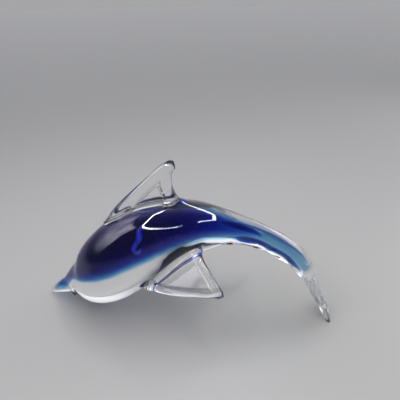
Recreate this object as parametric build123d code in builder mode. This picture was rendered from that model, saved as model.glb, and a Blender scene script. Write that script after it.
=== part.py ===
from build123d import *
import math
import os

# A solid glass dolphin, worked hot: a two-colour core inside a thick clear gather, with a drawn-out
# beak, pressed fins and a split tail fused on. Millimetres, +Z up, head towards -X, tail towards +X,
# so that the dolphin's left side is towards -Y. The origin is on the surface it stands on, under the
# middle of its length. It rests on a small ground flat under the belly and on the tips of its flukes.

# ---- driving dimensions ----------------------------------------------------------------------------
# Stations along the clear body: x and z of the section's centre, and its half height across the spine.
BODY = [
    (-83.0, 9.9, 7.3),
    (-77.0, 12.9, 11.9),
    (-68.0, 16.2, 18.6),
    (-57.0, 22.8, 23.5),
    (-44.0, 34.2, 25.4),
    (-28.0, 47.4, 24.2),
    (-10.0, 57.8, 20.2),
    (8.0, 62.6, 15.9),
    (26.0, 62.0, 11.5),
    (46.0, 57.8, 8.4),
    (62.0, 50.2, 7.6),
    (74.0, 41.0, 7.0),
    (81.0, 31.8, 6.0),
]
BODY_WIDTH = 1.0           # half width of a section over its half height

# Colour layers: the lowest and highest point of the layer's section at each of those stations, as
# fractions of the body's half height above the spine. None where the layer isn't there.
AQUA_SPAN = [
    (-0.20, 0.80), (0.00, 0.88), (-0.02, 0.90), (-0.12, 0.88), (-0.24, 0.80), (-0.38, 0.66), (-0.48, 0.58),
    (-0.50, 0.52), (-0.54, 0.42), (-0.60, 0.34), (-0.60, 0.32), (-0.58, 0.34), None,
]
COBALT_SPAN = [
    (0.14, 0.62), (0.16, 0.81), (0.10, 0.80), (0.00, 0.74), (-0.16, 0.64), (-0.30, 0.52), (-0.40, 0.46),
    (-0.42, 0.42), (-0.38, 0.34), (-0.24, 0.22), None, None, None,
]
AQUA_WIDTH, COBALT_WIDTH = 1.20, 1.05                  # half width of a layer's section over its half height
# The layers' own stations beyond those: inside the beak, and where they tail off.
AQUA_LEAD = [(-96.5, 4.2, 1.1), (-90.5, 7.6, 2.6)]
AQUA_TRAIL = [(80.2, 32.5, 2.0)]
COBALT_LEAD = [(-93.0, 6.9, 0.6), (-88.0, 9.6, 1.5)]
COBALT_TRAIL = [(52.5, 55.8, 0.6)]

BEAK = [(-99.5, 2.4, 1.6), (-96.0, 3.9, 2.9), (-90.0, 6.9, 4.8), (-83.0, 9.8, 6.5)]
BEAK_TIP_ROUNDING = 0.8    # radius of the beak's tip over its first half height

# Rungs across a fin, from inside the body to the tip: front point, rear point, thickness.
DORSAL_RUNGS = [
    ((-49.0, 50.0), (-5.0, 72.0), 8.4),
    ((-51.2, 63.0), (-4.0, 83.6), 8.0),
    ((-46.5, 70.5), (-5.4, 87.6), 7.4),
    ((-34.5, 83.0), (-6.0, 92.0), 6.8),
    ((-20.0, 96.4), (-5.2, 98.2), 6.2),
    ((-10.2, 104.6), (-3.6, 103.4), 4.6),
    ((-7.0, 106.4), (-4.4, 106.0), 2.6),
]
PECTORAL_FRONT = Vector(-22.6, -15.0, 22.7)            # the left fin's root ends and its tip
PECTORAL_REAR = Vector(13.5, -9.0, 50.0)
PECTORAL_TIP = Vector(28.3, -33.0, 31.6)
PECTORAL_RUNGS = [
    ((1.0, -6.0), (42.0, -6.0), 6.4),
    ((0.4, 0.6), (43.0, 0.6), 6.0),
    ((4.2, 7.0), (43.0, 8.0), 5.4),
    ((10.4, 12.6), (43.4, 14.6), 5.0),
    ((19.0, 19.0), (43.9, 21.4), 4.6),
    ((28.5, 25.2), (44.4, 27.2), 4.2),
    ((37.5, 30.6), (44.6, 31.4), 3.4),
    ((41.6, 33.2), (44.0, 33.2), 2.0),
]
RIM_ROUNDING = 0.42        # corner radius of a fin's section over its thickness

TAIL_SLOPE = 63.0          # degrees below level of the clear tail end
# The stem of the tail end: distance from the joint, half height and half width of its section.
FLUKE_STEM = [(8.0, 5.2, 5.6), (17.0, 4.1, 5.8), (25.0, 2.6, 6.0)]
# A fluke's outline in plan: distance from the joint along the tail, and out from its middle.
FLUKE_LEADING_EDGE = [(14.0, 0.0), (20.0, 5.4), (29.0, 8.4), (34.9, 13.0)]
FLUKE_LOBE_TOP = (36.5, 11.2)
FLUKE_TRAILING_EDGE = [(35.9, 8.8), (34.3, 4.3), (30.5, 0.0)]
FLUKE_HALF_THICKNESS = 2.6

os.makedirs("parts", exist_ok=True)


# ---- sections --------------------------------------------------------------------------------------
def spine_planes(stations):
    """A plane across the spine at each station: its x along +Y, its y towards the back."""
    planes = []
    last = len(stations) - 1
    for i, (x, z, _) in enumerate(stations):
        before = stations[max(i - 1, 0)]
        after = stations[min(i + 1, last)]
        along = Vector(after[0] - before[0], 0, after[1] - before[1])
        planes.append(Plane(origin=(x, 0, z), x_dir=(0, 1, 0), z_dir=along))
    return planes


BODY_PLANES = spine_planes(BODY)


def layer_sections(span, lead, trail):
    """Planes and half heights of a colour layer: its own at both ends, across the body's spine between."""
    sections = []
    for plane, (_, _, body_half), limits in zip(BODY_PLANES, BODY, span):
        if limits:
            lowest, highest = limits
            raised = plane.offset(0)
            raised.origin = plane.origin + plane.y_dir * (body_half * (lowest + highest) / 2)
            sections.append((raised, body_half * (highest - lowest) / 2))
    first = sections[0][0].origin
    last = sections[-1][0].origin
    lead_planes = spine_planes(lead + [(first.X, first.Z, 0)])
    trail_planes = spine_planes([(last.X, last.Z, 0)] + trail)
    before = [(plane, half_height) for plane, (_, _, half_height) in zip(lead_planes, lead)]
    after = [(plane, half_height) for plane, (_, _, half_height) in zip(trail_planes[1:], trail)]
    return before + sections + after


# ---- cobalt core -----------------------------------------------------------------------------------
with BuildPart() as cobalt_core:
    for plane, half_height in layer_sections(COBALT_SPAN, COBALT_LEAD, COBALT_TRAIL):
        with BuildSketch(plane):
            Ellipse(COBALT_WIDTH * half_height, half_height)
    loft()
cobalt_core.part.label = "cobalt_core"

# ---- aqua layer around it, from inside the beak to just short of the tail joint -----------------------
with BuildPart() as aqua_solid:
    for plane, half_height in layer_sections(AQUA_SPAN, AQUA_LEAD, AQUA_TRAIL):
        with BuildSketch(plane):
            Ellipse(AQUA_WIDTH * half_height, half_height)
    loft()

with BuildPart() as aqua_layer:
    add(aqua_solid.part)
    add(cobalt_core.part, mode=Mode.SUBTRACT)
aqua_layer.part.label = "aqua_layer"

# ---- clear outer gather ----------------------------------------------------------------------------
with BuildPart() as body_solid:
    for plane, (_, _, half_height) in zip(BODY_PLANES, BODY):
        with BuildSketch(plane):
            Ellipse(BODY_WIDTH * half_height, half_height)
    loft()

with BuildPart() as crystal_casing:
    add(body_solid.part)
    split(bisect_by=Plane.XY, keep=Keep.TOP)           # the ground flat under the belly
    add(aqua_solid.part, mode=Mode.SUBTRACT)
crystal_casing.part.label = "crystal_casing"

# ---- beak: drawn to a point, smaller than the head's end, which leaves the tooled crease -------------
with BuildPart() as beak:
    for plane, (_, _, half_height) in zip(spine_planes(BEAK[:-1]) + [BODY_PLANES[0]], BEAK):
        with BuildSketch(plane):
            Ellipse(BODY_WIDTH * half_height, half_height)
    loft()
    tip = beak.edges().sort_by(Axis.X)[0]
    fillet(tip, BEAK[0][2] * BEAK_TIP_ROUNDING)
    add(aqua_solid.part, mode=Mode.SUBTRACT)
beak.part.label = "beak"


# ---- fins: pressed bits with rounded rims, cut to the surface of the body ----------------------------
def fin_sections(fin_plane, rungs):
    """A rounded section across the fin at each rung, from inside the body out to the tip."""
    sections = []
    for front, rear, thickness in rungs:
        front_point = fin_plane.from_local_coords(Vector(*front))
        rear_point = fin_plane.from_local_coords(Vector(*rear))
        chord = rear_point - front_point
        middle = (front_point + rear_point) / 2
        section = Plane(origin=middle, x_dir=chord, z_dir=chord.cross(fin_plane.z_dir))
        sections.append((section, chord.length, thickness))
    return sections


with BuildPart() as dorsal_fin:
    for plane, chord_length, thickness in fin_sections(Plane.XZ, DORSAL_RUNGS):
        with BuildSketch(plane):
            RectangleRounded(chord_length, thickness, RIM_ROUNDING * thickness)
    loft()
    add(body_solid.part, mode=Mode.SUBTRACT)
dorsal_fin.part.label = "dorsal_fin"

along_root = PECTORAL_REAR - PECTORAL_FRONT
across_fin = along_root.cross(PECTORAL_TIP - PECTORAL_FRONT)
pectoral_plane = Plane(origin=PECTORAL_FRONT, x_dir=along_root, z_dir=across_fin)

with BuildPart() as left_pectoral_fin:
    for plane, chord_length, thickness in fin_sections(pectoral_plane, PECTORAL_RUNGS):
        with BuildSketch(plane):
            RectangleRounded(chord_length, thickness, RIM_ROUNDING * thickness)
    loft()
    add(body_solid.part, mode=Mode.SUBTRACT)
left_pectoral_fin.part.label = "left_pectoral_fin"

with BuildPart() as right_pectoral_fin:
    add(mirror(left_pectoral_fin.part, about=Plane.XZ, mode=Mode.PRIVATE))
right_pectoral_fin.part.label = "right_pectoral_fin"

# ---- tail flukes: a clear end bit, round at the joint, pressed flat and split in two ------------------
slope = math.radians(TAIL_SLOPE)
down_tail = Vector(math.cos(slope), 0, -math.sin(slope))
joint = BODY_PLANES[-1].origin
fluke_plane = Plane(origin=joint, x_dir=down_tail, z_dir=down_tail.cross(Vector(0, 1, 0)))

with BuildPart() as tail_flukes:
    with BuildSketch(BODY_PLANES[-1]):
        Ellipse(BODY_WIDTH * BODY[-1][2], BODY[-1][2])
    for distance, half_height, half_width in FLUKE_STEM:
        stem_plane = Plane(origin=joint + down_tail * distance, x_dir=(0, 1, 0), z_dir=down_tail)
        with BuildSketch(stem_plane):
            Ellipse(half_width, half_height)
    loft()
    with BuildSketch(fluke_plane):
        with BuildLine():
            Spline(*FLUKE_LEADING_EDGE)
            ThreePointArc(FLUKE_LEADING_EDGE[-1], FLUKE_LOBE_TOP, FLUKE_TRAILING_EDGE[0])
            Spline(*FLUKE_TRAILING_EDGE)
            Line(FLUKE_TRAILING_EDGE[-1], FLUKE_LEADING_EDGE[0])
        make_face()
        mirror(about=Plane.XZ)
    extrude(amount=FLUKE_HALF_THICKNESS, both=True)
    split(bisect_by=Plane.XY, keep=Keep.TOP)
tail_flukes.part.label = "tail_flukes"

# ---- files -----------------------------------------------------------------------------------------
pieces = [cobalt_core, aqua_layer, crystal_casing, beak, dorsal_fin]
pieces += [left_pectoral_fin, right_pectoral_fin, tail_flukes]
for piece in pieces:
    export_step(piece.part, f"parts/{piece.part.label}.step")
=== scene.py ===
import math
import bmesh
import bpy
import numpy as np
from mathutils import Matrix, Vector
from mathutils.bvhtree import BVHTree


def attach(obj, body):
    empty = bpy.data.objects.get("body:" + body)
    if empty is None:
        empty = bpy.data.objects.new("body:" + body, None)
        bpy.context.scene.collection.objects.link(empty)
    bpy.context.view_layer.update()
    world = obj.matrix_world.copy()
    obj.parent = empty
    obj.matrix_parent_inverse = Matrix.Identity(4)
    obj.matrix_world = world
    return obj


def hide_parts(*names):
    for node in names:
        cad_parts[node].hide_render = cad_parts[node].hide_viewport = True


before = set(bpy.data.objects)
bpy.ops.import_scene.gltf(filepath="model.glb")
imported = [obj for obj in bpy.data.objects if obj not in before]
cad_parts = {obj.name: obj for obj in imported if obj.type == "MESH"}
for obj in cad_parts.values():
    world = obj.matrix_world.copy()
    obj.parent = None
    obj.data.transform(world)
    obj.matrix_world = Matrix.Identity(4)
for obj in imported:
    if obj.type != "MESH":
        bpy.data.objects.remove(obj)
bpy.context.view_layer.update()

MM = 0.001
SEAM = 0.15 * MM           # how far one fused piece runs into the next, so that no air shows between them

# ---- the driving dimensions that the CAD has too, in millimetres -------------------------------------
# Stations along the clear body: x and z of the section's centre, and its half height across the spine.
BODY = [
    (-83.0, 9.9, 7.3), (-77.0, 12.9, 11.9), (-68.0, 16.2, 18.6), (-57.0, 22.8, 23.5), (-44.0, 34.2, 25.4),
    (-28.0, 47.4, 24.2), (-10.0, 57.8, 20.2), (8.0, 62.6, 15.9), (26.0, 62.0, 11.5), (46.0, 57.8, 8.4),
    (62.0, 50.2, 7.6), (74.0, 41.0, 7.0), (81.0, 31.8, 6.0),
]
BODY_WIDTH = 1.0           # half width of a section over its half height
# Colour layers: the lowest and highest point of the layer's section at each of those stations, as
# fractions of the body's half height above the spine. None where the layer isn't there.
AQUA_SPAN = [
    (-0.20, 0.80), (0.00, 0.88), (-0.02, 0.90), (-0.12, 0.88), (-0.24, 0.80), (-0.38, 0.66), (-0.48, 0.58),
    (-0.50, 0.52), (-0.54, 0.42), (-0.60, 0.34), (-0.60, 0.32), (-0.58, 0.34), None,
]
COBALT_SPAN = [
    (0.14, 0.62), (0.16, 0.81), (0.10, 0.80), (0.00, 0.74), (-0.16, 0.64), (-0.30, 0.52), (-0.40, 0.46),
    (-0.42, 0.42), (-0.38, 0.34), (-0.24, 0.22), None, None, None,
]
AQUA_WIDTH, COBALT_WIDTH = 1.20, 1.05                  # half width of a layer's section over its half height
AQUA_LEAD = [(-96.5, 4.2, 1.1), (-90.5, 7.6, 2.6)]     # the layers' own stations beyond the body's
AQUA_TRAIL = [(80.2, 32.5, 2.0)]
COBALT_LEAD = [(-93.0, 6.9, 0.6), (-88.0, 9.6, 1.5)]
COBALT_TRAIL = [(52.5, 55.8, 0.6)]
BEAK = [(-99.5, 2.4, 1.6), (-96.0, 3.9, 2.9), (-90.0, 6.9, 4.8), (-83.0, 9.8, 6.5)]
BEAK_TIP_ROUNDING = 0.8    # radius of the beak's tip over its first half height
# Rungs across a fin, from inside the body to the tip: front point, rear point, thickness.
DORSAL_RUNGS = [
    ((-49.0, 50.0), (-5.0, 72.0), 8.4), ((-51.2, 63.0), (-4.0, 83.6), 8.0),
    ((-46.5, 70.5), (-5.4, 87.6), 7.4), ((-34.5, 83.0), (-6.0, 92.0), 6.8),
    ((-20.0, 96.4), (-5.2, 98.2), 6.2), ((-10.2, 104.6), (-3.6, 103.4), 4.6),
    ((-7.0, 106.4), (-4.4, 106.0), 2.6),
]
PECTORAL_FRONT = Vector((-22.6, -15.0, 22.7))          # the left fin's root ends and its tip
PECTORAL_REAR = Vector((13.5, -9.0, 50.0))
PECTORAL_TIP = Vector((28.3, -33.0, 31.6))
PECTORAL_RUNGS = [
    ((1.0, -6.0), (42.0, -6.0), 6.4), ((0.4, 0.6), (43.0, 0.6), 6.0),
    ((4.2, 7.0), (43.0, 8.0), 5.4), ((10.4, 12.6), (43.4, 14.6), 5.0),
    ((19.0, 19.0), (43.9, 21.4), 4.6), ((28.5, 25.2), (44.4, 27.2), 4.2),
    ((37.5, 30.6), (44.6, 31.4), 3.4), ((41.6, 33.2), (44.0, 33.2), 2.0),
]
TAIL_SLOPE = math.radians(63.0)                        # below level, of the clear tail end
FLUKE_LENGTH = 36.5        # from the joint to the tips of the flukes
FLUKE_HALF_SPAN = 13.0
FLUKE_HALF_THICKNESS = 2.6


# ---- curves and meshes -------------------------------------------------------------------------------
def natural_spline(knots, values, at):
    """A natural cubic spline through values (rows) at knots, read at the places in at."""
    knots = np.asarray(knots, float)
    values = np.asarray(values, float).reshape(len(knots), -1)
    at = np.asarray(at, float)
    step = np.diff(knots)
    count = len(knots)
    system = np.eye(count)
    right = np.zeros_like(values)
    slopes = np.diff(values, axis=0) / step[:, None]
    for i in range(1, count - 1):
        system[i, i - 1:i + 2] = step[i - 1], 2 * (step[i - 1] + step[i]), step[i]
        right[i] = 6 * (slopes[i] - slopes[i - 1])
    bend = np.linalg.solve(system, right)
    i = np.clip(np.searchsorted(knots, at, side="right") - 1, 0, count - 2)
    h = step[i][:, None]
    before = (knots[i + 1] - at)[:, None]
    after = (at - knots[i])[:, None]
    cubic = (bend[i] * before ** 3 + bend[i + 1] * after ** 3) / (6 * h)
    line = (values[i] / h - bend[i] * h / 6) * before + (values[i + 1] / h - bend[i + 1] * h / 6) * after
    return cubic + line


def chord_lengths(points):
    """Distance along a line of points, at each of them."""
    points = np.asarray(points, float)
    return np.concatenate([[0], np.cumsum(np.linalg.norm(np.diff(points, axis=0), axis=1))])


def spine_frames(stations, count, ease=1.0):
    """Centres, up directions and half heights of count sections along smooth stations, in mm."""
    table = np.asarray(stations, float)
    along = chord_lengths(table[:, :2])
    at = along[-1] * np.linspace(0, 1, count) ** ease
    smooth = natural_spline(along, table, at)
    slope = np.gradient(smooth[:, :2], axis=0)
    slope /= np.linalg.norm(slope, axis=1)[:, None]
    up = np.stack([-slope[:, 1], np.zeros(count), slope[:, 0]], 1)
    centre = np.stack([smooth[:, 0], np.zeros(count), smooth[:, 1]], 1)
    return centre, up, smooth[:, 2]


def ellipse_ring(centre, up, half_height, half_width, segments):
    turn = np.linspace(0, 2 * math.pi, segments, endpoint=False)
    side = np.array([0.0, 1.0, 0.0])
    return centre + half_height * np.outer(np.cos(turn), up) + half_width * np.outer(np.sin(turn), side)


SHARP_EDGE = math.radians(40.0)


def turn_faces_outwards(mesh):
    work = bmesh.new()
    work.from_mesh(mesh)
    bmesh.ops.recalc_face_normals(work, faces=work.faces)
    work.to_mesh(mesh)
    work.free()


def new_piece(name, points, faces, material):
    """A closed mesh piece from points in mm, smooth apart from its sharp edges."""
    mesh = bpy.data.meshes.new(name)
    mesh.from_pydata([tuple(p) for p in np.asarray(points) * MM], [], faces)
    mesh.validate()
    mesh.shade_smooth()
    mesh.set_sharp_from_angle(angle=SHARP_EDGE)
    mesh.materials.append(material)
    turn_faces_outwards(mesh)
    piece = bpy.data.objects.new(name, mesh)
    bpy.context.scene.collection.objects.link(piece)
    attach(piece, "root")
    return piece


def ring_faces(rings, segments, first_cap=True):
    """Faces along closed rings of points, with a cap on the last ring and, unless told not to, the first."""
    faces = []
    for i in range(rings - 1):
        for j in range(segments):
            k = (j + 1) % segments
            faces.append((i * segments + j, (i + 1) * segments + j, (i + 1) * segments + k, i * segments + k))
    if first_cap:
        faces.append(tuple(range(segments)))
    faces.append(tuple(reversed(range((rings - 1) * segments, rings * segments))))
    return faces


# ---- materials ---------------------------------------------------------------------------------------
def glass_material(name, ior, colour=(1.0, 1.0, 1.0), density=0.0, ripple=0.0, ripple_scale=60.0,
                   roughness=0.0):
    """Clear or absorbing glass. A low ripple bends the surface the way hand-worked glass is bent."""
    material = bpy.data.materials.new(name)
    material.use_nodes = True
    nodes, links = material.node_tree.nodes, material.node_tree.links
    shader = nodes["Principled BSDF"]
    shader.inputs["Base Color"].default_value = (1, 1, 1, 1)
    shader.inputs["Roughness"].default_value = roughness
    shader.inputs["IOR"].default_value = ior
    shader.inputs["Transmission Weight"].default_value = 1.0
    if ripple:
        place = nodes.new("ShaderNodeTexCoord")
        wave = nodes.new("ShaderNodeTexNoise")
        wave.inputs["Scale"].default_value = ripple_scale
        wave.inputs["Detail"].default_value = 1.5
        wave.inputs["Roughness"].default_value = 0.4
        bump = nodes.new("ShaderNodeBump")
        bump.inputs["Strength"].default_value = 1.0
        bump.inputs["Distance"].default_value = ripple
        links.new(place.outputs["Object"], wave.inputs["Vector"])
        links.new(wave.outputs["Fac"], bump.inputs["Height"])
        links.new(bump.outputs["Normal"], shader.inputs["Normal"])
    if density:
        volume = nodes.new("ShaderNodeVolumeAbsorption")
        volume.inputs["Color"].default_value = (*colour, 1)
        volume.inputs["Density"].default_value = density
        links.new(volume.outputs["Volume"], nodes["Material Output"].inputs["Volume"])
    return material


def thread_material(name, colour, roughness, transmission=0.0):
    """Dense glass that shows a surface colour: opaque, or part of the light goes through. The cobalt one's
    colour is painted light.
    """
    material = bpy.data.materials.new(name)
    material.use_nodes = True
    shader = material.node_tree.nodes["Principled BSDF"]
    shader.inputs["Base Color"].default_value = (*colour, 1)
    shader.inputs["Roughness"].default_value = roughness
    shader.inputs["Transmission Weight"].default_value = transmission
    return material


GLASS_IOR = 1.5
LAYER_IOR = 1.01           # coloured glass seen from inside the clear glass, which bends light almost as much
BUBBLE_IOR = 0.67          # air seen from inside the clear glass
CRYSTAL = glass_material("clear_crystal", GLASS_IOR, ripple=0.0005, ripple_scale=55.0)
FIN_CRYSTAL = glass_material("pressed_crystal", GLASS_IOR, ripple=0.0003, ripple_scale=60.0)
TOOLED_CRYSTAL = glass_material("tooled_crystal", GLASS_IOR, ripple=0.0008, ripple_scale=160.0,
                                roughness=0.05)
AQUA = glass_material("aqua_glass", LAYER_IOR, (0.0, 0.54, 0.82), 420.0)
COBALT = glass_material("cobalt_glass", LAYER_IOR, (0.0, 0.30, 0.92), 420.0)
INK = glass_material("ink_glass", LAYER_IOR, (0.0, 0.30, 0.72), 1500.0)
# Lavender tint for a strand along the tail's top: a painted highlight, the colour of the light band there.
PAINTED_SHEEN_LAVENDER = glass_material("painted_lavender_sheen", LAYER_IOR, (0.40, 0.42, 0.80), 260.0)
SEED = glass_material("drawn_bubbles", BUBBLE_IOR)
# The cobalt enamel is painted light: an opaque bright blue that stands for light gathered in the core.
PAINTED_GLOW_ENAMEL = thread_material("cobalt_painted_glow", (0.0, 0.02, 0.80), 0.15, transmission=0.5)
SILVER = thread_material("silvery_thread", (0.95, 0.97, 1.0), 0.2)


# ---- clear body --------------------------------------------------------------------------------------
def hand_marks(points, spine_points, marks):
    """Moves points outwards from the spine by soft round bumps, each (centre, radius, height) in mm."""
    for centre, radius, height in marks:
        offset = points - np.array(centre)
        near = np.exp(-(offset ** 2).sum(1) / radius ** 2)
        from_spine = np.linalg.norm(spine_points - np.array(centre) * (1, 0, 1), axis=1)
        outward = np.array(centre) - spine_points[np.argmin(from_spine)]
        points += height * near[:, None] * outward / np.linalg.norm(outward)
    return points


# Marks that the pincers left: at the chin, at the ends of the fins' roots, and along the tail.
BODY_MARKS = [
    ((-79.5, -6.5, 6.0), 2.0, 1.6), ((-77.0, -3.0, 2.0), 1.8, 1.2), ((-80.5, -7.5, 12.5), 1.6, 0.9),
    ((-53.0, 0.0, 51.5), 4.0, 1.8), ((-1.0, 0.0, 80.5), 3.8, 3.2),
    ((-23.0, -15.5, 22.5), 4.0, 2.2), ((-23.0, 15.5, 22.5), 4.0, 2.2),
    ((31.0, -8.0, 54.0), 4.0, 0.9), ((39.0, -7.5, 54.5), 4.0, -0.5), ((47.0, -6.0, 50.5), 3.5, 0.6),
    ((55.0, -6.0, 47.5), 3.5, -0.5), ((61.0, -6.0, 43.5), 3.2, 0.6), ((68.0, -6.0, 39.0), 3.4, -0.4),
    ((74.0, -5.5, 34.5), 3.0, 0.5), ((50.0, -7.5, 57.0), 4.5, -0.4), ((66.0, -7.0, 47.5), 4.5, -0.4),
]
BODY_RINGS, BODY_SEGMENTS = 210, 128
JOINT_DEPTH = 7.0          # the tail end is fused on over a cone that reaches this far into the body
JOINT_POINT = 0.05         # radius at that cone's point
CREASE_LIP = 0.45          # height of the lip where the beak is joined on
CREASE_LIP_PLACE, CREASE_LIP_REACH = 1.3, 0.9          # its distance from the crease, and its spread
centres, ups, heights = spine_frames(BODY, BODY_RINGS)
from_crease = chord_lengths(centres)
heights = heights + CREASE_LIP * np.exp(-((from_crease - CREASE_LIP_PLACE) / CREASE_LIP_REACH) ** 2)
rings = [ellipse_ring(c, u, a, BODY_WIDTH * a, BODY_SEGMENTS) for c, u, a in zip(centres, ups, heights)]
end_slope = (centres[-1] - centres[-2]) / np.linalg.norm(centres[-1] - centres[-2])
cone_point = centres[-1] - end_slope * JOINT_DEPTH
rings.append(ellipse_ring(cone_point, ups[-1], JOINT_POINT, JOINT_POINT, BODY_SEGMENTS))
body_points = hand_marks(np.concatenate(rings), centres, BODY_MARKS)
body_faces = ring_faces(len(rings), BODY_SEGMENTS)
body_tree = BVHTree.FromPolygons([Vector(p) for p in body_points], body_faces)
body_points[:, 2] = np.maximum(body_points[:, 2], 0.0)       # the ground flat under the belly
body = new_piece("body_glass", body_points, body_faces, CRYSTAL)
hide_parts("crystal_casing")


# ---- colour layers -----------------------------------------------------------------------------------
LAYER_RINGS = 120
LAYER_TURN = np.linspace(0, 2 * math.pi, 72, endpoint=False)
TAIL_THINNING = 0.45       # share of a layer's width that is left at the tail, where the drawing thins it
THINNING_RANGE = (5.0, 45.0)                           # x from and to which a layer gets thinner, in mm
LAYER_PINCH = 1.1          # how sharply a layer thins out towards its lower edge, for a soft edge


def pinched_ring(centre, up, half_height, half_width):
    """A section like a drop hanging upside down: full at the top and thinning out to its lower edge."""
    bulge = np.sin(LAYER_TURN) * np.abs(np.cos(LAYER_TURN / 2)) ** LAYER_PINCH
    side = np.array([0.0, 1.0, 0.0])
    return (centre + half_height * np.outer(np.cos(LAYER_TURN), up)
            + half_width / bulge.max() * np.outer(bulge, side))


def colour_layer(name, node, span, width, lead, trail, material):
    """A closed layer of coloured glass inside the body; lead and trail are its own stations at its ends."""
    table = []
    for (x, z, half_height), limits in zip(BODY, span):
        if limits:
            lowest, highest = limits
            up = ups[int(np.argmin(np.abs(centres[:, 0] - x)))]
            centre = np.array([x, 0, z]) + up * half_height * (lowest + highest) / 2
            table.append((centre[0], centre[2], half_height * (highest - lowest) / 2))
    layer_centres, layer_ups, layer_heights = spine_frames(lead + table + trail, LAYER_RINGS)
    widths = width * layer_heights * np.interp(layer_centres[:, 0], THINNING_RANGE, (1.0, TAIL_THINNING))
    rings = [pinched_ring(*section) for section in zip(layer_centres, layer_ups, layer_heights, widths)]
    faces = ring_faces(len(rings), len(LAYER_TURN))
    piece = new_piece(name, np.concatenate(rings), faces, material)
    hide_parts(node)


colour_layer("aqua_layer_glass", "aqua_layer", AQUA_SPAN, AQUA_WIDTH, AQUA_LEAD, AQUA_TRAIL,
             AQUA)
colour_layer("cobalt_core_glass", "cobalt_core", COBALT_SPAN, COBALT_WIDTH, COBALT_LEAD, COBALT_TRAIL,
             COBALT)


# ---- strands inside the glass ------------------------------------------------------------------------
STRAND_RINGS, STRAND_SEGMENTS = 90, 20
LEAST_RADIUS = 0.05


def strand(name, route, radii, material):
    """A closed round strand through the points of route, with a radius at each, in mm."""
    route = np.asarray(route, float)
    at = chord_lengths(route)
    fine = np.linspace(0, at[-1], STRAND_RINGS)
    line = natural_spline(at, route, fine)
    radius = np.maximum(natural_spline(at, radii, fine)[:, 0], LEAST_RADIUS)
    tangent = np.gradient(line, axis=0)
    tangent /= np.linalg.norm(tangent, axis=1)[:, None]
    first = np.cross(tangent, (0.0, 1.0, 0.0))
    first /= np.linalg.norm(first, axis=1)[:, None]
    second = np.cross(tangent, first)
    turn = np.linspace(0, 2 * math.pi, STRAND_SEGMENTS, endpoint=False)
    rings = [c + r * (np.outer(np.cos(turn), f) + np.outer(np.sin(turn), g))
             for c, r, f, g in zip(line, radius, first, second)]
    new_piece(name, np.concatenate(rings), ring_faces(STRAND_RINGS, STRAND_SEGMENTS), material)


# Strands that the drawing of the tail left around the paler blue, and along its top a lavender strand whose
# tint is a painted highlight:
# x from and to, height and side offset from the spine at both ends as fractions of the body's half height,
# radius as one too, and the glass.
TAIL_STRANDS = [
    (34.0, 79.0, (0.40, -0.05), (0.36, 0.00), 0.09, INK),
    (48.0, 70.0, (0.10, 0.15), (0.16, 0.10), 0.05, INK),
    (33.0, 62.0, (-0.40, -0.10), (-0.36, 0.05), 0.17, INK),
    (56.0, 79.5, (-0.30, -0.15), (-0.38, 0.00), 0.15, INK),
    (24.0, 50.0, (0.02, 0.25), (-0.10, 0.30), 0.12, INK),
    # The lavender strand along the tail's top paints the lavender highlight band there.
    (20.0, 79.0, (0.54, 0.00), (0.54, 0.00), 0.17, PAINTED_SHEEN_LAVENDER),
]
STRAND_POINTS = 7          # points of a strand's route
STRAND_TAPER = 0.03        # share of its length that a strand's first and last radius are read at
for i, (x_from, x_to, offset_from, offset_to, thickness, glass) in enumerate(TAIL_STRANDS):
    first, last = (int(np.argmin(np.abs(centres[:, 0] - x))) for x in (x_from, x_to))
    picks = np.linspace(first, last, STRAND_POINTS).astype(int)
    route, radii = [], []
    for k, pick in enumerate(picks):
        share = k / (STRAND_POINTS - 1)
        rise, aside = (a + (b - a) * share for a, b in zip(offset_from, offset_to))
        half = heights[pick]
        route.append(centres[pick] + ups[pick] * rise * half + np.array([0, aside * half, 0]))
        taper = math.sqrt(math.sin(math.pi * min(max(share, STRAND_TAPER), 1 - STRAND_TAPER)))
        radii.append(thickness * half * taper)
    strand(f"tail_strand_{i + 1}", route, radii, glass)

# An opaque blue twist just under the clear glass behind the head, in front of the coloured core: its bright
# blue is painted light, standing for light gathered in the core. Its route and its radii.
TWIST = [(-23.5, -12.0, 66.5), (-25.0, -13.6, 63.0), (-25.0, -14.6, 60.0), (-26.5, -15.2, 57.0),
         (-28.5, -15.4, 53.5), (-28.0, -15.6, 50.5), (-25.5, -15.4, 51.0), (-24.8, -15.0, 53.5)]
TWIST_RADII = [0.5, 1.7, 2.1, 1.3, 1.5, 1.3, 1.0, 0.3]
strand("core_twist", TWIST, TWIST_RADII, PAINTED_GLOW_ENAMEL)

# ---- beak --------------------------------------------------------------------------------------------
BEAK_RINGS, BEAK_SEGMENTS = 60, 64
BEAK_EASE = 1.6            # how much closer the rings stand towards the tip
BEAK_TIP_FLAT = 0.02       # how far behind the rounded tip its first ring stands
beak_centres, beak_ups, beak_heights = spine_frames(BEAK, BEAK_RINGS, ease=BEAK_EASE)
beak_ups[-1] = ups[0]
tip_radius = BEAK_TIP_ROUNDING * BEAK[0][2]
from_tip = np.clip((chord_lengths(beak_centres) + BEAK_TIP_FLAT) / tip_radius, 0, 1)
beak_heights = beak_heights * np.sqrt(1 - (1 - from_tip) ** 2)
rings = [ellipse_ring(c, u, a, BODY_WIDTH * a, BEAK_SEGMENTS)
         for c, u, a in zip(beak_centres, beak_ups, beak_heights)]
into_body = (centres[3] - centres[0]) / np.linalg.norm(centres[3] - centres[0])
rings[-1] = rings[-1] + into_body * SEAM / MM
beak = new_piece("beak_glass", np.concatenate(rings), ring_faces(BEAK_RINGS, BEAK_SEGMENTS), CRYSTAL)
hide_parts("beak")


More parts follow.
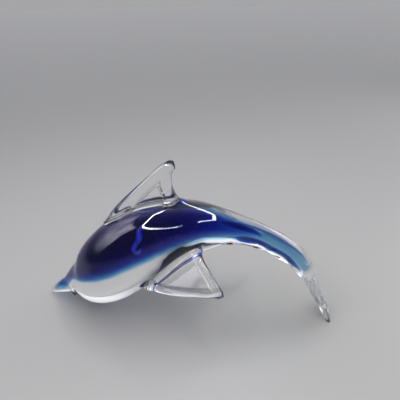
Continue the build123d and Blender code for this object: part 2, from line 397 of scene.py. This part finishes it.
# ---- pressed fins ------------------------------------------------------------------------------------
PRESS_STEP = 1.6           # width of the slope around the field that is pressed into a fin
FIN_ROWS, FIN_COLUMNS = 90, 56                         # of the flat sheet that a fin is worked out on
FIN_RINGS = 70             # from the body's surface to the fin's tip
FIN_RING_EASE = 1.35       # how much closer they stand towards the body
ROOT_SEARCH_STEPS = 14     # halvings in the search for the body's surface
ROOT_STEPS = 4             # faces across the root, from one side of the fin to the other
BEAD_MIDDLE = 0.6          # distance of the root bead's highest line from the body, over its reach
BEAD_TURN = 4              # how late the bead turns from the fin's sides to its front and rear ends


def outline_distance(points, outline):
    """Distance of each 2D point to an open outline."""
    start, end = outline[:-1], outline[1:]
    edge = end - start
    share = np.einsum("pek,ek->pe", points[:, None] - start[None], edge) / (edge ** 2).sum(1)
    nearest = start[None] + np.clip(share, 0, 1)[:, :, None] * edge[None]
    return np.linalg.norm(points[:, None] - nearest, axis=2).min(1)


def pressed_fin(name, node, origin, across, upward, normal, rungs, edge, rim, dish, foot, spread):
    """A pressed bit: edge is the width of its rounding, rim that of the border left around the pressed
    field, dish the field's depth, foot and spread the height and reach of the bead along its root."""
    front = np.array([r[0] for r in rungs])
    rear = np.array([r[1] for r in rungs])
    thickness = np.array([r[2] for r in rungs]) / 2
    along = chord_lengths((front + rear) / 2)
    at = np.linspace(0, along[-1], FIN_ROWS)
    front_line = natural_spline(along, front, at)
    rear_line = natural_spline(along, rear, at)
    half = natural_spline(along, thickness, at)[:, 0]
    share = 0.5 - 0.5 * np.cos(np.linspace(0, math.pi, FIN_COLUMNS + 1))
    flat = front_line[:, None] * (1 - share)[None, :, None] + rear_line[:, None] * share[None, :, None]
    outline = np.concatenate([front_line, rear_line[::-1]])
    depth = outline_distance(flat.reshape(-1, 2), outline).reshape(FIN_ROWS, FIN_COLUMNS + 1)
    rounded = np.sqrt(np.clip(1 - (1 - np.clip(depth / edge, 0, 1)) ** 2, 0, 1))
    pressed = np.clip((depth - rim) / PRESS_STEP, 0, 1)
    pressed = pressed * pressed * (3 - 2 * pressed)
    thick = half[:, None] * rounded - dish * pressed
    origin, across, upward, normal = (np.array(v, float) for v in (origin, across, upward, normal))

    def place(row_flat, offset):
        return origin + row_flat[..., :1] * across + row_flat[..., 1:] * upward + offset[..., None] * normal

    generators = []
    for side in (1, -1):
        sheet = place(flat, side * thick)
        inner = range(FIN_COLUMNS + 1) if side == 1 else range(FIN_COLUMNS - 1, 0, -1)
        generators += [(j, side, sheet[:, j]) for j in inner]

    def depth_in_body(point):
        where, facing, _, _ = body_tree.find_nearest(Vector(point))
        return (Vector(point) - where).dot(facing)

    sunk = []
    for j, side, line in generators:
        last_inside = max((i for i in range(FIN_ROWS) if depth_in_body(line[i]) < 0), default=0)
        low, high = float(last_inside), float(min(last_inside + 1, FIN_ROWS - 1))
        indices = np.arange(FIN_ROWS)
        for _ in range(ROOT_SEARCH_STEPS):
            middle = (low + high) / 2
            probe = [np.interp(middle, indices, line[:, k]) for k in range(3)]
            if depth_in_body(probe) < 0:
                low = middle
            else:
                high = middle
        rest = np.linspace(0, 1, FIN_RINGS) ** FIN_RING_EASE
        where = low + (FIN_ROWS - 1 - low) * rest
        resampled = np.stack([np.interp(where, indices, line[:, k]) for k in range(3)], 1)
        gone = chord_lengths(resampled)
        lean = 2 * share[j] - 1
        push = np.sign(lean) * abs(lean) ** BEAD_TURN * across
        push = push + side * math.sqrt(max(1 - lean * lean, 0)) * normal
        push /= np.linalg.norm(push)
        swell = foot * np.exp(-((gone - BEAD_MIDDLE * spread) / spread) ** 2)
        resampled = resampled + swell[:, None] * push
        where, facing, _, _ = body_tree.find_nearest(Vector(resampled[0]))
        resampled[0] = np.array(where - facing * (SEAM / MM))
        sunk.append(resampled)
    ring = len(sunk)
    rings = np.stack(sunk, 1)
    points = rings.reshape(-1, 3).tolist()
    faces = ring_faces(rings.shape[0], ring, first_cap=False)

    # The root is a grid that follows the body just under its surface.
    grid = []
    for j in range(1, FIN_COLUMNS):
        a, b = rings[0][j], rings[0][ring - j]
        column = [j]
        for k in range(1, ROOT_STEPS):
            middle = Vector(a + (b - a) * k / ROOT_STEPS)
            where, facing, _, _ = body_tree.find_nearest(middle)
            points.append(tuple(where - facing * (SEAM / MM)))
            column.append(len(points) - 1)
        column.append(ring - j)
        grid.append(column)
    for left, right in zip(grid, grid[1:]):
        for k in range(ROOT_STEPS):
            faces.append((left[k], right[k], right[k + 1], left[k + 1]))
    for end, corner in ((grid[0], 0), (grid[-1], FIN_COLUMNS)):
        faces.append(tuple(end + [corner]) if corner == 0 else tuple(reversed(end + [corner])))
    piece = new_piece(name, points, faces, FIN_CRYSTAL)
    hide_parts(node)


pressed_fin("dorsal_fin_glass", "dorsal_fin", (0, 0, 0), (1, 0, 0), (0, 0, 1), (0, -1, 0),
            DORSAL_RUNGS, edge=3.0, rim=7.0, dish=1.9, foot=1.6, spread=2.0)

for side, word in ((1, "left"), (-1, "right")):            # the left side is towards -Y
    mirrored = Matrix.Diagonal((1, side, 1))
    root, rear, tip = (mirrored @ v for v in (PECTORAL_FRONT, PECTORAL_REAR, PECTORAL_TIP))
    across = (rear - root).normalized()
    outward = (tip - root) - across * (tip - root).dot(across)
    outward.normalize()
    pressed_fin(f"{word}_pectoral_glass", f"{word}_pectoral_fin", root, across, outward,
                across.cross(outward), PECTORAL_RUNGS, edge=2.4, rim=4.2, dish=1.2, foot=2.7, spread=2.8)

# ---- tail flukes -------------------------------------------------------------------------------------
FLUKE_ROWS, FLUKE_COLUMNS = 130, 160
# The stem widens evenly into the flukes: distance from the joint, half height and half width.
FLUKE_STEM = [(8.0, 5.2, 5.6), (17.0, 4.1, 5.8), (25.0, 2.8, 7.4), (31.0, 2.6, 10.2)]
FLUKE_TIP_THICKNESS = 0.9  # thickness at the tips over the flukes' own
FLUKE_NOTCH = 6.0          # depth of the notch between the flukes
NOTCH_GROWTH, NOTCH_POINT = 3, 1.4                     # how late the notch begins, and how pointed it is
STEM_TURN = 3              # the stem has turned from the spine's slope to the tail's at 1 / 3 of its length
SQUARING, SQUARED_AT = 0.45, 0.6                       # how flat the section gets, and by which share
TRAILING_EDGE_FROM, TRAILING_EDGE_LENGTH = 0.93, 0.07  # where the trailing edge is rounded off, as shares
TOOL_STREAK = 0.05         # depth of the pincers' streaks along the tail end, over its half thickness
TOOL_STREAKS, TOOL_TWIST, TOOL_FADE = 19, 4, 0.3       # their number, their twist and how they fade out
down_tail = np.array([math.cos(TAIL_SLOPE), 0, -math.sin(TAIL_SLOPE)])
fluke_up = np.array([math.sin(TAIL_SLOPE), 0, math.cos(TAIL_SLOPE)])
joint, joint_up, joint_half = centres[-1], ups[-1], heights[-1]
stem = [(0.0, joint_half, joint_half * BODY_WIDTH)] + FLUKE_STEM
stem.append((FLUKE_LENGTH, FLUKE_HALF_THICKNESS * FLUKE_TIP_THICKNESS, FLUKE_HALF_SPAN))
stem = np.array(stem)
along = np.linspace(0, FLUKE_LENGTH, FLUKE_ROWS)
stem_height, stem_width = natural_spline(stem[:, 0], stem[:, 1:], along).T
turn = np.linspace(0, 2 * math.pi, FLUKE_COLUMNS, endpoint=False)
lean = np.sin(turn)
fluke_rings = []
for distance, height, width in zip(along, stem_height, stem_width):
    s = distance / FLUKE_LENGTH
    squareness = 1 - SQUARING * min(1, s / SQUARED_AT)
    up_down = np.sign(np.cos(turn)) * np.abs(np.cos(turn)) ** squareness
    bend = min(1, s * STEM_TURN)
    streak_waves = np.cos(TOOL_STREAKS * turn + TOOL_TWIST * s)
    streaks = 1 + TOOL_STREAK * bend * streak_waves * np.sin(math.pi * s) ** TOOL_FADE
    reach = distance - FLUKE_NOTCH * s ** NOTCH_GROWTH * (1 - np.abs(lean)) ** NOTCH_POINT
    past_edge = max(0, (s - TRAILING_EDGE_FROM) / TRAILING_EDGE_LENGTH)
    trailing = math.sqrt(max(1 - past_edge ** 2, 0))
    up = joint_up * (1 - bend) + fluke_up * bend
    centre = joint + np.outer(reach, down_tail) - down_tail * SEAM / MM * (1 - s)
    ring = centre + np.outer(lean * width * streaks, (0, 1, 0))
    fluke_rings.append(ring + np.outer(up_down * height * trailing * streaks, up))
joint_point = joint - end_slope * (JOINT_DEPTH + SEAM / MM)
fluke_rings.insert(0, ellipse_ring(joint_point, joint_up, JOINT_POINT, JOINT_POINT, FLUKE_COLUMNS))
fluke_points = np.concatenate(fluke_rings)
fluke_points[:, 1] = np.clip(fluke_points[:, 1], -FLUKE_HALF_SPAN, FLUKE_HALF_SPAN)
fluke_points[:, 2] = np.maximum(fluke_points[:, 2], 0.0)
flukes = new_piece("tail_flukes_glass", fluke_points, ring_faces(len(fluke_rings), FLUKE_COLUMNS),
                   TOOLED_CRYSTAL)
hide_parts("tail_flukes")

# Fine drawn threads inside the tail end, which give it its silvery streaks: every third is air.
STREAK_COUNT = 12
STREAK_POINTS = 6
STREAK_FROM, STREAK_LENGTH = 0.08, 0.8                 # shares of the tail end's length
STREAK_RISE, STREAK_SPREAD = 0.55, 0.6                 # distance from its middle, over its half sizes
STREAK_RADII = [0.1, 0.8, 1.0, 0.8, 0.6, 0.1]
STREAK_SWAY, STREAK_WAVE, STREAK_PHASE = 0.5, 4, 2.1   # each wanders round the middle like a sine
STREAK_SHORTENING = 0.1    # how far they keep back from the flukes' notch, over the distance
for i in range(STREAK_COUNT):
    turn = 2 * math.pi * i / STREAK_COUNT
    route = []
    for k in range(STREAK_POINTS):
        s = STREAK_FROM + STREAK_LENGTH * k / (STREAK_POINTS - 1)
        distance = s * FLUKE_LENGTH
        height = float(np.interp(distance, stem[:, 0], stem[:, 1])) * STREAK_RISE
        width = float(np.interp(distance, stem[:, 0], stem[:, 2])) * STREAK_SPREAD
        wander = turn + STREAK_SWAY * math.sin(STREAK_PHASE * i + STREAK_WAVE * s)
        side = np.array([0, width * math.sin(wander), 0])
        along_tail = down_tail * distance * (1 - STREAK_SHORTENING * s)
        route.append(joint + along_tail + fluke_up * height * math.cos(wander) + side)
    strand(f"tail_end_streak_{i + 1}", route, STREAK_RADII, SILVER if i % 3 else SEED)

# ---- floor and lights --------------------------------------------------------------------------------
FLOOR_REACH = 60           # metres from the middle to the floor's edges, past all that a low view shows
corners = [(-FLOOR_REACH, -FLOOR_REACH, 0), (FLOOR_REACH, -FLOOR_REACH, 0),
           (FLOOR_REACH, FLOOR_REACH, 0), (-FLOOR_REACH, FLOOR_REACH, 0)]
floor_mesh = bpy.data.meshes.new("floor")
floor_mesh.from_pydata(corners, [], [(0, 1, 2, 3)])
floor = bpy.data.objects.new("floor", floor_mesh)
bpy.context.scene.collection.objects.link(floor)
floor_material = bpy.data.materials.new("pale_floor")
floor_material.use_nodes = True
floor_shader = floor_material.node_tree.nodes["Principled BSDF"]
floor_shader.inputs["Base Color"].default_value = (0.23, 0.23, 0.226, 1)
floor_shader.inputs["Roughness"].default_value = 0.45
floor_mesh.materials.append(floor_material)


def area_light(name, place, size, size_y, power):
    """A rectangular light at place that shines straight down until it is turned."""
    data = bpy.data.lights.new(name, "AREA")
    data.shape = "RECTANGLE"
    data.size = size
    data.size_y = size_y
    data.energy = power
    light = bpy.data.objects.new(name, data)
    light.location = place
    bpy.context.scene.collection.objects.link(light)
    return light


# A leaf-shaped frame of light strips above the glass, pointed at its near and far ends. In metres.
STRIP_RADIANCE = 50.0
FRAME_HEIGHT = 0.40
FRAME_LENGTH, FRAME_WIDTH = 0.85, 0.45
FRAME_MIDDLE = (-0.02, -0.2)
FRAME_STRIPS = 12
FRAME_BAR = 0.013          # width of a strip
frame_corners = []
for i in range(FRAME_STRIPS):
    turn = math.tau * i / FRAME_STRIPS
    across = math.copysign(math.sin(turn) ** 2, math.sin(turn)) * FRAME_WIDTH / 2
    frame_corners.append((FRAME_MIDDLE[0] + across, FRAME_MIDDLE[1] + math.cos(turn) * FRAME_LENGTH / 2))
for i, (x, y) in enumerate(frame_corners):
    next_x, next_y = frame_corners[(i + 1) % FRAME_STRIPS]
    step = Vector((next_x - x, next_y - y, 0))
    middle = (x + step.x / 2, y + step.y / 2, FRAME_HEIGHT)
    power = STRIP_RADIANCE * math.pi * step.length * FRAME_BAR
    strip = area_light(f"frame_strip_{i + 1}", middle, step.length, FRAME_BAR, power)
    strip.rotation_euler = (0, 0, math.atan2(step.y, step.x))

PANEL_PLACE, PANEL_TARGET = Vector((0.62, 0.38, 0.36)), Vector((0.05, 0, 0.04))
PANEL_WIDTH, PANEL_HEIGHT, PANEL_POWER = 0.60, 0.30, 1.7
panel = area_light("right_panel", PANEL_PLACE, PANEL_WIDTH, PANEL_HEIGHT, PANEL_POWER)
panel.rotation_euler = (PANEL_TARGET - PANEL_PLACE).to_track_quat("-Z", "Y").to_euler()

# A studio sky: bright above the back, as dim as the floor at the horizon there, dark towards the front.
SKY_LEAN = (0.0, 0.80, 0.60)                           # the direction that the sky brightens towards
SKY_DARK, SKY_HORIZON, SKY_BRIGHT = (0.15, 0.15, 0.155, 1), (0.30, 0.30, 0.31, 1), (1.15, 1.16, 1.20, 1)
HORIZON_AT, BRIGHT_AT = 0.5, 0.78                      # how far towards that direction those colours lie
SKY_STRENGTH = 0.9
BACKDROP = (0.42, 0.42, 0.425, 1)                      # what a low view sees past the floor
world = bpy.data.worlds.new("studio")
world.use_nodes = True
nodes, links = world.node_tree.nodes, world.node_tree.links
place = nodes.new("ShaderNodeTexCoord")
ramp = nodes.new("ShaderNodeValToRGB")
ramp.color_ramp.elements[0].position = 0.0
ramp.color_ramp.elements[0].color = SKY_DARK
ramp.color_ramp.elements[1].position = BRIGHT_AT
ramp.color_ramp.elements[1].color = SKY_BRIGHT
ramp.color_ramp.elements.new(HORIZON_AT).color = SKY_HORIZON
lean = nodes.new("ShaderNodeVectorMath")
lean.operation = "DOT_PRODUCT"
lean.inputs[1].default_value = SKY_LEAN
links.new(place.outputs["Generated"], lean.inputs[0])
links.new(lean.outputs["Value"], ramp.inputs["Fac"])


def band(source, start, end):
    """A smooth step of source: 0 at start and 1 at end."""
    step = nodes.new("ShaderNodeMapRange")
    step.interpolation_type = "SMOOTHSTEP"
    step.inputs["From Min"].default_value = min(start, end)
    step.inputs["From Max"].default_value = max(start, end)
    step.inputs["To Min"].default_value = float(start > end)
    step.inputs["To Max"].default_value = float(start < end)
    links.new(source, step.inputs["Value"])
    return step.outputs["Result"]


def product(first, second):
    """The product of a socket and another socket or a number."""
    times = nodes.new("ShaderNodeMath")
    times.operation = "MULTIPLY"
    links.new(first, times.inputs[0])
    if isinstance(second, float):
        times.inputs[1].default_value = second
    else:
        links.new(second, times.inputs[1])
    return times.outputs["Value"]


# A pale patch of sky to the left, like a lit wall: it ends sharply towards the front and fades out
# downwards and to the back. Each edge: the axis it is across, and where the light starts and is full.
WALL_RADIANCE = 8.0
WALL_TINT = (0.86, 0.83, 1.0, 1)
WALL_EDGES = [("X", -0.05, -0.35), ("Y", -0.38, -0.32), ("Y", 0.75, -0.30), ("Z", 0.10, 0.60),
              ("Z", 0.74, 0.66)]
CLOUD_SCALE = 3.0
CLOUD_EDGE = (0.15, 0.65)
direction = nodes.new("ShaderNodeSeparateXYZ")
links.new(place.outputs["Generated"], direction.inputs["Vector"])
cloud = nodes.new("ShaderNodeTexNoise")
cloud.inputs["Scale"].default_value = CLOUD_SCALE
links.new(place.outputs["Generated"], cloud.inputs["Vector"])
wall = band(cloud.outputs["Fac"], *CLOUD_EDGE)
for axis, start, end in WALL_EDGES:
    wall = product(wall, band(direction.outputs[axis], start, end))
wall = product(wall, WALL_RADIANCE)
tinted = nodes.new("ShaderNodeMix")
tinted.data_type = "RGBA"
tinted.clamp_factor = False
tinted.inputs["A"].default_value = (0, 0, 0, 1)
tinted.inputs["B"].default_value = WALL_TINT
links.new(wall, tinted.inputs["Factor"])
total = nodes.new("ShaderNodeMix")
total.data_type = "RGBA"
total.blend_type = "ADD"
total.inputs["Factor"].default_value = 1.0
links.new(ramp.outputs["Color"], total.inputs["A"])
links.new(tinted.outputs["Result"], total.inputs["B"])
# The camera itself sees a plain backdrop.
path = nodes.new("ShaderNodeLightPath")
seen = nodes.new("ShaderNodeMix")
seen.data_type = "RGBA"
seen.inputs["B"].default_value = BACKDROP
links.new(path.outputs["Is Camera Ray"], seen.inputs["Factor"])
links.new(total.outputs["Result"], seen.inputs["A"])
links.new(seen.outputs["Result"], nodes["Background"].inputs["Color"])
nodes["Background"].inputs["Strength"].default_value = SKY_STRENGTH
bpy.context.scene.world = world
bpy.context.scene.view_settings.view_transform = "Standard"
GLASS_BOUNCES = 32         # room for light to cross the nested layers
bpy.context.scene.cycles.max_bounces = GLASS_BOUNCES
bpy.context.scene.cycles.transmission_bounces = GLASS_BOUNCES

# ---- camera ------------------------------------------------------------------------------------------
CAMERA_PLACE = Vector((0.0387, -0.2231, 0.190))
CAMERA_AZIMUTH, CAMERA_PITCH, CAMERA_ROLL = math.radians(7), math.radians(26), math.radians(1)
right = Vector((math.cos(CAMERA_AZIMUTH), math.sin(CAMERA_AZIMUTH), 0))
level = Vector((-math.sin(CAMERA_AZIMUTH), math.cos(CAMERA_AZIMUTH), 0))
ahead = level * math.cos(CAMERA_PITCH) + Vector((0, 0, -math.sin(CAMERA_PITCH)))
down = ahead.cross(right)
image_x = right * math.cos(CAMERA_ROLL) + down * math.sin(CAMERA_ROLL)
image_down = down * math.cos(CAMERA_ROLL) - right * math.sin(CAMERA_ROLL)
camera_data = bpy.data.cameras.new("camera")
camera_data.sensor_width = 36.0
camera_data.lens = 36.0
camera_data.clip_start = 0.01
camera = bpy.data.objects.new("camera", camera_data)
camera_axes = Matrix((image_x, -image_down, -ahead)).transposed().to_4x4()
camera.matrix_world = Matrix.Translation(CAMERA_PLACE) @ camera_axes
bpy.context.scene.collection.objects.link(camera)
bpy.context.scene.camera = camera
